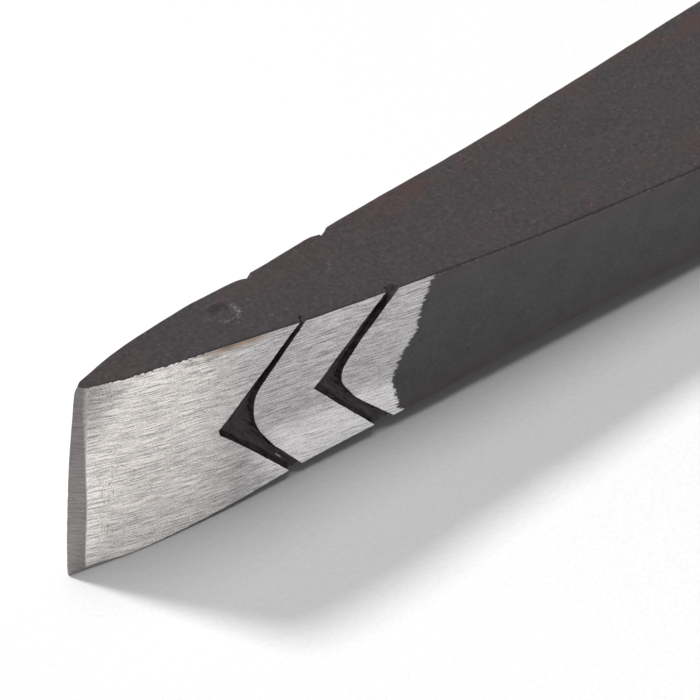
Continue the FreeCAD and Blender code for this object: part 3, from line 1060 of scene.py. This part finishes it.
def rgb(red, green, blue):
    """A linear colour with full alpha."""
    return (red, green, blue, 1.0)


# ---------------------------------------------------------------- steel

SCALE_GREY = rgb(0.033, 0.0295, 0.0325)
SCALE_BROWN = rgb(0.043, 0.0265, 0.0265)
SCALE_RED = rgb(0.037, 0.024, 0.0255)
SCALE_RUST = rgb(0.049, 0.028, 0.026)
SCALE_PAINTED_GLINT = rgb(0.13, 0.125, 0.12)
SCALE_PINHOLE = rgb(0.012, 0.011, 0.011)
SCALE_SCAR = rgb(0.014, 0.012, 0.012)
SCALE_LIP = rgb(0.14, 0.13, 0.125)
SCALE_SCRATCH = rgb(0.12, 0.11, 0.105)
SCALE_GLOSS = 0.27
SIDE_GLOSS = 0.57
SIDE_TINT = rgb(0.86, 0.95, 0.99)
ARRIS_STEEL = rgb(0.26, 0.25, 0.25)
CRATER_SHINE = rgb(0.22, 0.205, 0.2)
CRATER_DARK = rgb(0.01, 0.009, 0.009)
CRATER_CHIP = rgb(0.17, 0.16, 0.155)
STEEL_LIGHT = rgb(0.95, 0.93, 0.92)
STEEL_DARK = rgb(0.355, 0.345, 0.34)
SCORE_DARK = rgb(0.16, 0.15, 0.15)
DENT_DARK = rgb(0.2, 0.19, 0.19)
HEAT_BROWN = rgb(0.26, 0.165, 0.105)
SMEAR_DARK = rgb(0.10, 0.09, 0.09)
# Painted reflection: tints for the ground steel, bright at the front and in a low band, darker
# between, where the face reflects lit or shaded floor.
FRONT_REFLECTION_TINT = rgb(0.99, 0.965, 0.945)
LOW_REFLECTION_TINT = rgb(0.98, 0.98, 0.99)
SHADED_REFLECTION_TINT = rgb(0.68, 0.675, 0.685)
BEVEL_TINT = rgb(0.37, 0.365, 0.37)
GROOVE_DARK = rgb(0.016, 0.0125, 0.014)
GROOVE_LIGHT = rgb(0.034, 0.027, 0.029)
GROOVE_SCAR = rgb(0.15, 0.14, 0.14)
GROOVE_PAINTED_GLINT = rgb(0.11, 0.095, 0.09)
GLINT = rgb(0.6, 0.58, 0.57)
HOOP_BRIGHT = rgb(0.34, 0.33, 0.32)
# A groove arm's direction, and a painted glint (a highlight) on the floor of the near first
# groove:
# its place and reach along and across that arm, in mm.
ARM_DIRECTION = (0.65, 0.76)
GLINT_PLACE = (8.27, 4.97)
GLINT_REACH = (0.27, 0.04)
# How steeply the grinding marks rise, on the side and on the bevel.
GRIND_SLOPE = 0.13
BEVEL_SLOPE = 0.465
# The crater's lit side is where y + CRATER_LEAN * x is low.
CRATER_LEAN = -0.6
CRATER_FADE = 0.3


def scale_look(shade, place, warm):
    """Black forge scale, browner where warm: colour, roughness and height."""
    broad = shade.noise(place, 0.2, 3.0)
    patch = shade.noise(place, 0.9, 4.0, 0.6)
    fine = shade.noise(place, 5.5, 4.0, 0.65)
    speck = shade.noise(place, 9.0, 1.0)
    flake = shade.noise(place, 3.2, 2.0, 0.7)
    tone = (broad + patch * 0.5).ramp(0.6, 0.84) * warm
    colour = shade.blend(tone, SCALE_GREY, SCALE_BROWN)
    lift = fine.ramp(0.3, 0.72, 0.6, 1.4) * patch.ramp(0.3, 0.7, 0.9, 1.1)
    scar = flake.ramp(0.66, 0.7)
    lip = flake.ramp(0.62, 0.65) * flake.ramp(0.69, 0.66) * fine.ramp(0.5, 0.6)
    # Painted highlight: the first layer's light specks stand for glints on the scale; pinholes,
    # scars and lips are the scale's own marks.
    colour = shade.layered(
        shade.tinted(colour, lift),
        (speck.ramp(0.72, 0.8) * 0.4, SCALE_PAINTED_GLINT),
        (speck.ramp(0.29, 0.22) * 0.7, SCALE_PINHOLE),
        (scar * 0.6, SCALE_SCAR),
        (lip * 0.5, SCALE_LIP),
    )
    height = fine * 0.45 + patch * 0.55 - scar * 0.5
    return colour, patch.ramp(0.3, 0.7, 0.46, 0.6), height


def grind_streaks(shade, x, z, bevel):
    """A maker of noise drawn out along the grinding marks, by length and width in mm."""
    slope = shade.mix(bevel, GRIND_SLOPE, BEVEL_SLOPE)
    across = z + x * slope
    along = x - z * slope

    def streaks(length, width, shift, detail):
        point = shade.point(along * (1 / length), across * (1 / width), shift)
        return shade.noise(point, 1.0, detail, 0.6)

    return streaks


def upright_dents(shade, place, x):
    """Short upright dents in a row behind the bevel, in a few clusters."""
    dents = shade.noise(place, detail=1.0, stretch=(15.0, 0.0, 2.2)).ramp(0.57, 0.66)
    clusters = shade.noise(place, detail=1.0, stretch=(0.0, 0.0, 0.55)).ramp(0.48, 0.56)
    return dents * (x.ramp(1.0, 1.2) * x.ramp(1.75, 1.55) * clusters)


def grind_look(shade, place, x, z, bevel):
    """Belt-ground steel: colour, roughness and height, streaked along the grinding."""
    streaks = grind_streaks(shade, x, z, bevel)
    coarse = streaks(2.0, 0.045, 1.0, 1.0)
    fine = streaks(0.8, 0.03, 7.0, 2.0)
    bands = streaks(9.0, 0.5, 13.0, 1.0)
    grain = shade.noise(place, 20.0, 2.0, 0.7)
    tone = coarse * 0.27 + fine * 0.41 + bands * 0.05 + grain * 0.27
    # Painted reflection: a band low on the side behind x = 7 mm is painted brighter, both in its
    # share of light steel and in its tint.
    low = z.ramp(-0.5, -2.2) * x.ramp(7.0, 9.5, 0.05, 1.0)
    share = shade.mix(low, tone.ramp(0.42, 0.57), tone.ramp(0.40, 0.55, 0.05, 1.2))
    share = shade.mix(bevel * 0.5, share, 0.47)
    colour = shade.blend(share, STEEL_DARK, STEEL_LIGHT)
    score = streaks(0.3, 0.07, 21.0, 1.0)
    colour = shade.blend(score.ramp(0.66, 0.74, 0.0, 0.6), colour, SCORE_DARK)
    colour = shade.blend(upright_dents(shade, place, x) * 0.6, colour, DENT_DARK)
    # Painted reflection: bright ahead of x = 4.8 mm, darker behind it, bright again in the low
    # band.
    painted_reflection = shade.blend(low, SHADED_REFLECTION_TINT, LOW_REFLECTION_TINT)
    colour = shade.multiply(colour, shade.blend(x.ramp(7.6, 4.8), painted_reflection, FRONT_REFLECTION_TINT))
    # Darker towards the top of the side near the edge.
    darker_top_front = z.ramp(0.5, 4.4) * x.ramp(2.4, 0.5) * (1.0 - bevel)
    colour = shade.tinted(colour, shade.mix(darker_top_front, 1.0, 0.5))
    honed = shade.tinted(BEVEL_TINT, z.ramp(-4.0, 4.8, 1.08, 0.78))
    colour = shade.blend(bevel, colour, shade.multiply(colour, honed))
    return colour, share.ramp(0.0, 1.0, 0.56, 0.44), coarse * 0.55 + fine * 0.45


def rim_tones(shade, colour, place, rim, z):
    """Heat-reddened scale along the side's rims, with bare specks on the upper arris."""
    colour = shade.blend(rim.ramp(1.5, 0.2, 0.0, 0.75), colour, SCALE_RED)
    crumbs = shade.noise(place, 7.0, 3.0, 0.7)
    worn = rim.ramp(0.22, 0.12) * crumbs.ramp(0.56, 0.62) * z.ramp(0.0, 0.5)
    return shade.blend(worn * 0.7, colour, ARRIS_STEEL)


def bare_share(shade, place, x, slanted):
    """Where the side is bare steel: ahead of a toothed line and inside its ragged rims."""
    teeth = shade.noise(shade.point(x * 1.6, slanted * 9.0), 1.0, 3.0, 0.6)
    crumbs = shade.noise(place, 6.0, 3.0, 0.7)
    back = shade.mask("bare_back") + teeth.ramp(0.3, 0.7, -0.12, 0.12)
    inner = shade.mask("bare_rim") + crumbs.ramp(0.3, 0.7, -0.07, 0.07)
    return back.ramp(-0.05, 0.05) * inner.ramp(-0.02, 0.02)


def rim_heat(shade, colour, x, z, rim, slanted):
    """Straw heat tint and dark smears along the upper rim of the ground steel."""
    upper = z.ramp(0.0, 1.0)
    tint = rim.ramp(0.55, 0.05, 0.0, 0.85) * (x.ramp(4.6, 6.2) * x.ramp(9.0, 7.4)) * upper
    colour = shade.blend(tint, colour, HEAT_BROWN)
    smears = shade.noise(shade.point(x * 1.1, slanted * 7.0, 3.0), 1.0, 2.0, 0.6)
    reach = x.ramp(3.6, 5.0) * x.ramp(7.2, 5.8) * rim.ramp(0.8, 0.1)
    return shade.blend(smears.ramp(0.5, 0.6, 0.0, 0.85) * reach * upper, colour, SMEAR_DARK)


def side_steel():
    """The blade's side: ground bright in front of a ragged line, forge scale behind it."""
    shade = Shade("ground_steel")
    place, x, _, z = shade.place()
    bevel = shade.mask("bevel").ramp(-1.0, 1.0)
    rim = shade.mask("rim")
    slanted = z + x * GRIND_SLOPE
    scale, scale_rough, scale_height = scale_look(shade, place, 0.15)
    scale = rim_tones(shade, shade.multiply(scale, SIDE_TINT), place, rim, z)
    steel, steel_rough, steel_height = grind_look(shade, place, x, z, bevel)
    steel = rim_heat(shade, steel, x, z, rim, slanted)
    bare = bare_share(shade, place, x, slanted)
    normals = {0: bare, 4: shade.bump(scale_height, 0.00006, 0.6),
               5: shade.bump(steel_height, 0.000004, 0.4)}
    normal = shade.node("Mix", normals, data_type="VECTOR").outputs[1]
    roughness = shade.mix(bare, scale_rough, steel_rough)
    return shade.finish(shade.blend(bare, scale, steel), roughness, normal, bare, SIDE_GLOSS)


def crater_tones(shade, colour, place, x, y):
    """The crater's lit rim, its dark bowl and the chips in it."""
    pit = shade.mask("pit")
    crumbs = shade.noise(place, 9.0, 3.0, 0.7)
    middle = PIT_CENTRE[1] + CRATER_LEAN * PIT_CENTRE[0]
    lit = (y + x * CRATER_LEAN).ramp(middle + CRATER_FADE, middle - CRATER_FADE)
    shine = shade.math("SUBTRACT", 1.0, abs(pit) * 4.0, clamp=True) * lit * crumbs.ramp(0.48, 0.6)
    bowl = pit.ramp(0.05, -0.1) * crumbs.ramp(0.42, 0.34)
    chips = pit.ramp(0.0, -0.2) * crumbs.ramp(0.6, 0.66)
    return shade.layered(colour, (shine * 0.9, CRATER_SHINE), (bowl * 0.8, CRATER_DARK),
                         (chips * 0.7, CRATER_CHIP))


def black_scale():
    """Forge scale on the top and bottom faces, the shank, bolster and tang."""
    shade = Shade("forge_scale")
    place, x, y, z = shade.place()
    warm = shade.math("ADD", shade.mask("warm"), 0.2, clamp=True)
    colour, roughness, height = scale_look(shade, place, warm)
    leaning = shade.point((x + y * 0.35) * 7.0, y * 0.35, z * 7.0)
    scratch = shade.noise(leaning, 1.0, 2.0, 0.6).ramp(0.63, 0.74, 0.0, 0.5)
    rubbed = shade.noise(place, 0.16, 1.0).ramp(0.45, 0.62) * x.ramp(14.0, 22.0)
    colour = shade.blend(scratch * rubbed, colour, SCALE_SCRATCH)
    rust = shade.noise(place, 1.0, 4.0, 0.65, stretch=(0.35, 0.7, 0.7))
    colour = shade.blend(rust.ramp(0.5, 0.66, 0.0, 0.9) * warm, colour, SCALE_RUST)
    colour = crater_tones(shade, colour, place, x, y)
    return shade.finish(colour, roughness, shade.bump(height, 0.00007, 0.7), gloss=SCALE_GLOSS)


def groove_scale():
    """Burnt scale in the chevron grooves."""
    shade = Shade("groove_scale")
    place, x, _, z = shade.place()
    patch = shade.noise(place, 3.0, 4.0, 0.65)
    fine = shade.noise(place, 11.0, 3.0, 0.65)
    along = x * ARM_DIRECTION[0] + abs(z) * ARM_DIRECTION[1]
    across = x * ARM_DIRECTION[1] - abs(z) * ARM_DIRECTION[0]
    ridges = shade.noise(shade.point(along * 0.7, across * 9.0), 1.0, 3.0, 0.65)
    colour = shade.blend(patch.ramp(0.35, 0.7), GROOVE_DARK, GROOVE_LIGHT)
    colour = shade.tinted(colour, ridges.ramp(0.36, 0.64, 0.4, 2.5))
    # Painted light: the second chevron's groove is painted up to half again lighter, making up
    # for the shade in its depth.
    colour = shade.tinted(colour, x.ramp(9.4, 10.6, 1.0, 1.5))
    scar = ridges.ramp(0.62, 0.7, 0.0, 0.5) * shade.noise(place, 1.4, 1.0).ramp(0.55, 0.65)
    colour = shade.blend(scar, colour, GROOVE_SCAR)
    # Painted highlight: a fixed bright glint on the lower arm of the near first groove.
    off_along = (along - GLINT_PLACE[0]) * (1 / GLINT_REACH[0])
    off_across = (across - GLINT_PLACE[1]) * (1 / GLINT_REACH[1])
    glint = (off_along * off_along + off_across * off_across).ramp(1.0, 0.4)
    colour = shade.blend(glint * z.ramp(0.0, -1.0), colour, GLINT)
    # Painted highlight: rare bright specks on the groove floor stand for glints.
    colour = shade.blend(fine.ramp(0.64, 0.74, 0.0, 0.8), colour, GROOVE_PAINTED_GLINT)
    height = patch * 0.35 + fine * 0.35 + ridges * 0.3
    return shade.finish(colour, patch.ramp(0.3, 0.7, 0.3, 0.6),
                        shade.bump(height, 0.00009, 0.8), gloss=SCALE_GLOSS)


def blackened_steel():
    """The hoop: heat-blackened steel, rubbed bright on its rims."""
    shade = Shade("blackened_steel")
    place = shade.place()[0]
    colour, roughness, height = scale_look(shade, place, 0.6)
    crumbs = shade.noise(place, 2.5, 4.0, 0.65)
    bright = (shade.mask("rim") + crumbs.ramp(0.3, 0.7, -0.25, 0.3)).ramp(0.32, 0.1)
    colour = shade.blend(bright, colour, HOOP_BRIGHT)
    return shade.finish(colour, shade.mix(bright, roughness, 0.36),
                        shade.bump(height, 0.00008, 0.6), bright)


# ---------------------------------------------------------------- brass, leather, wood

BRASS_DARK = rgb(0.48, 0.315, 0.13)
BRASS_LIGHT = rgb(0.66, 0.465, 0.215)
TARNISH = rgb(0.30, 0.19, 0.085)
LEATHER_DARK = rgb(0.13, 0.055, 0.022)
LEATHER_LIGHT = rgb(0.28, 0.135, 0.058)
LEATHER_BURNISH = rgb(0.07, 0.03, 0.014)
ASH_DARK = rgb(0.47, 0.305, 0.155)
ASH_LIGHT = rgb(0.60, 0.425, 0.245)
ASH_EARLY = rgb(0.33, 0.185, 0.082)
ASH_CLOUD = rgb(0.42, 0.25, 0.115)
ASH_PORE = rgb(0.10, 0.048, 0.02)
RING_SPACING = 2.3
RING_TAPER = 0.018
PITH = (0.0, -7.0, -19.0)


def brass(name, turned):
    """Brass with turning or filing lines and a little tarnish."""
    shade = Shade(name)
    place = shade.place()[0]
    stretch = (11.0, 0.35, 0.35) if turned else (1.2, 14.0, 1.0)
    lines = shade.noise(place, 1.0, 3.0, 0.6, stretch)
    cloud = shade.noise(place, 0.45, 4.0, 0.6)
    colour = shade.blend(lines.ramp(0.3, 0.7), BRASS_DARK, BRASS_LIGHT)
    colour = shade.blend(cloud.ramp(0.5, 0.75, 0.0, 0.5), colour, TARNISH)
    roughness = lines.ramp(0.3, 0.7, 0.24, 0.34) + cloud.ramp(0.4, 0.75, 0.0, 0.18)
    return shade.finish(colour, roughness, shade.bump(lines, 0.000012, 0.5), 1.0)


def leather():
    """Oiled leather: brown flesh layers on the rim, burnished darker in patches."""
    shade = Shade("leather")
    place = shade.place()[0]
    layers = shade.noise(place, 1.0, 4.0, 0.65, stretch=(5.0, 0.8, 0.8))
    grain = shade.noise(place, 4.5, 4.0, 0.6)
    colour = shade.blend(layers.ramp(0.3, 0.7), LEATHER_DARK, LEATHER_LIGHT)
    colour = shade.blend(grain.ramp(0.55, 0.75, 0.0, 0.5), colour, LEATHER_BURNISH)
    return shade.finish(colour, grain.ramp(0.3, 0.7, 0.5, 0.74),
                        shade.bump(layers + grain, 0.00012, 0.6))


def growth_rings(shade, place, x):
    """Where a point lies in its growth ring, 0 to 1, from a pith outside the handle."""
    slow = shade.vector("MULTIPLY", place, (0.016, 0.07, 0.07))
    sway = shade.node("TexNoise", {"Vector": slow, "Scale": 1.0, "Detail": 2.0})
    bend = shade.vector("SUBTRACT", sway.outputs["Color"], (0.5, 0.5, 0.5))
    bent = shade.vector("ADD", place, shade.vector("MULTIPLY", bend, (0.0, 11.0, 11.0)))
    flat = shade.vector("MULTIPLY", shade.vector("SUBTRACT", bent, PITH), (0.0, 1.0, 1.0))
    reach = shade.length(flat) + x * RING_TAPER
    return shade.math("FRACT", reach * (1 / RING_SPACING))


def ash_wood():
    """Oiled ash: pale late wood, brown porous early wood, short dark pores along the grain."""
    shade = Shade("ash_wood")
    place, x, _, _ = shade.place()
    ring = growth_rings(shade, place, x)
    early = ring.ramp(0.0, 0.05) * ring.ramp(0.42, 0.16)
    fibre = shade.noise(place, 1.0, 4.0, 0.6, stretch=(0.10, 4.5, 4.5))
    pore = shade.noise(place, 1.0, 2.0, 0.6, stretch=(0.42, 7.5, 7.5))
    cloud = shade.noise(place, 1.0, 2.0, stretch=(0.02, 0.09, 0.09))
    late = shade.blend(fibre.ramp(0.3, 0.7), ASH_DARK, ASH_LIGHT)
    colour = shade.blend(early * 0.72, late, ASH_EARLY)
    colour = shade.blend(cloud.ramp(0.35, 0.7, 0.0, 0.3), colour, ASH_CLOUD)
    holes = pore.ramp(0.56, 0.66) * early.ramp(0.0, 0.7, 0.12)
    colour = shade.blend(holes * 0.8, colour, ASH_PORE)
    roughness = fibre.ramp(0.3, 0.7, 0.40, 0.52) + holes * 0.25
    return shade.finish(colour, roughness, shade.bump(fibre * 0.4 - holes, 0.0001, 0.5))


# ---------------------------------------------------------------- studio

FLOOR_REACH = 4.0
FLOOR_DROP = 0.00001
FLOOR_ROUGHNESS = 0.9
FLOOR_TONE = 0.82
FLOOR_TONE_SEEN = 0.97
FLOOR_LIFT_SEEN = 0.03
FLOOR_LIFT_REFLECTED = 0.3
# Distances from the tool's middle over which the floor fades to plain white for the camera.
FLOOR_FADE = (0.14, 0.75)
WHITE = rgb(1, 1, 1)
WORLD_LIGHT = 0.1
KEY_DIRECTION = Vector((-0.38, 0.825, 1.0)).normalized()
KEY_DISTANCE = 1.4
KEY_SIZE = 0.24
KEY_POWER = 13.3
FILL_DIRECTION = Vector((0.0, 0.06, 1.0)).normalized()
FILL_DISTANCE = 1.2
FILL_SIZE = 0.9
FILL_POWER = 7.1
# Camera, from the lower corner of the edge: place in metres, look and up directions.
CAMERA_OFFSET = Vector((-0.058123, -0.085070, 0.117835))
CAMERA_LOOK = Vector((0.45297480, 0.53070016, -0.71635967))
CAMERA_UP = Vector((0.46512008, 0.54482519, 0.69773120))
CAMERA_RANGE = (0.01, 50.0)
SENSOR = 36.0
FOCAL_LENGTH = 205.7


def straight_reflection(nodes, path):
    """1 for a glossy or transmitted ray with no diffuse bounce before it."""
    turned = nodes.math("MAXIMUM", path["Is Glossy Ray"], path["Is Transmission Ray"])
    return turned * nodes.math("LESS_THAN", path["Diffuse Depth"], 0.5)


def floor_material():
    """Pale paper that the camera sees as white where no shadow falls."""
    shade = Shade("pale_floor")
    place = shade.node("TexCoord").outputs["Object"]
    path = shade.node("LightPath").outputs
    seen = path["Is Camera Ray"]
    fibres = shade.noise(place, 5200.0, 3.0, 0.6)
    broad = shade.noise(place, 60.0, 2.0)
    tone = fibres.ramp(0.3, 0.7, 0.95, 1.0) * broad.ramp(0.3, 0.7, 0.985, 1.0)
    colour = shade.grey(tone * shade.mix(seen, FLOOR_TONE, FLOOR_TONE_SEEN))
    shade.finish(colour, FLOOR_ROUGHNESS, shade.bump(fibres, 0.00002, 0.3), gloss=0.0)
    fade = shade.length(place).ramp(*FLOOR_FADE, FLOOR_LIFT_SEEN, 1.0)
    lift = straight_reflection(shade, path) * FLOOR_LIFT_REFLECTED + fade * seen
    glow = shade.node("Emission", {"Color": WHITE, "Strength": lift})
    both = shade.node("AddShader", {0: shade.shader.outputs[0], 1: glow.outputs[0]})
    shade.feed(shade.tree.nodes["Material Output"].inputs["Surface"], both.outputs[0])
    return shade.material


def make_floor():
    """A wide flat sheet under the tool."""
    lowest = CAD_BOX[0].z - FLOOR_DROP
    corners = [(-1, -1), (1, -1), (1, 1), (-1, 1)]
    mesh = bpy.data.meshes.new("floor")
    mesh.from_pydata([(x * FLOOR_REACH, y * FLOOR_REACH, lowest) for x, y in corners],
                     [], [(0, 1, 2, 3)])
    mesh.materials.append(floor_material())
    floor = placed("floor", mesh)


def make_world():
    """Even white light, seen as plain white by the camera and in what it sees reflected."""
    world = bpy.data.worlds.new("studio")
    bpy.context.scene.world = world
    world.use_nodes = True
    nodes = Nodes(world.node_tree)
    path = nodes.node("LightPath").outputs
    shown = nodes.math("MAXIMUM", straight_reflection(nodes, path), path["Is Camera Ray"])
    background = world.node_tree.nodes["Background"].inputs
    nodes.feed(background["Color"], WHITE)
    nodes.feed(background["Strength"], nodes.mix(shown, WORLD_LIGHT, 1.0))


def make_lamp(name, direction, distance, size, power):
    """A round soft lamp that shines on the edge of the blade."""
    lamp = bpy.data.lights.new(name, "AREA")
    lamp.shape = "DISK"
    lamp.size = size
    lamp.energy = power
    holder = placed(name, lamp)
    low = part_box("blade")[0]
    holder.location = Vector((low.x, 0, 0)) + direction * distance
    holder.rotation_mode = "QUATERNION"
    holder.rotation_quaternion = direction.to_track_quat("Z", "Y")


def make_camera():
    """The photograph's view: close to the edge, from above the near side."""
    camera = placed("camera", bpy.data.cameras.new("camera"))
    camera.data.sensor_width = SENSOR
    camera.data.lens = FOCAL_LENGTH
    camera.data.clip_start, camera.data.clip_end = CAMERA_RANGE
    corner = Vector((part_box("blade")[0].x, 0, CAD_BOX[0].z))
    right = CAMERA_LOOK.cross(CAMERA_UP)
    turn = Matrix((right, CAMERA_UP, -CAMERA_LOOK)).transposed().to_4x4()
    camera.matrix_world = Matrix.Translation(corner + CAMERA_OFFSET) @ turn
    bpy.context.scene.camera = camera


make_blade([side_steel(), black_scale(), groove_scale()])
make_washer(leather())
make_ferrule(brass("ferrule_brass", turned=True))
make_pin(brass("pin_brass", turned=False))
make_handle(ash_wood())
make_hoop(blackened_steel())

make_floor()
make_world()
make_lamp("key", KEY_DIRECTION, KEY_DISTANCE, KEY_SIZE, KEY_POWER)
make_lamp("fill", FILL_DIRECTION, FILL_DISTANCE, FILL_SIZE, FILL_POWER)
make_camera()
bpy.context.scene.view_settings.view_transform = "Standard"
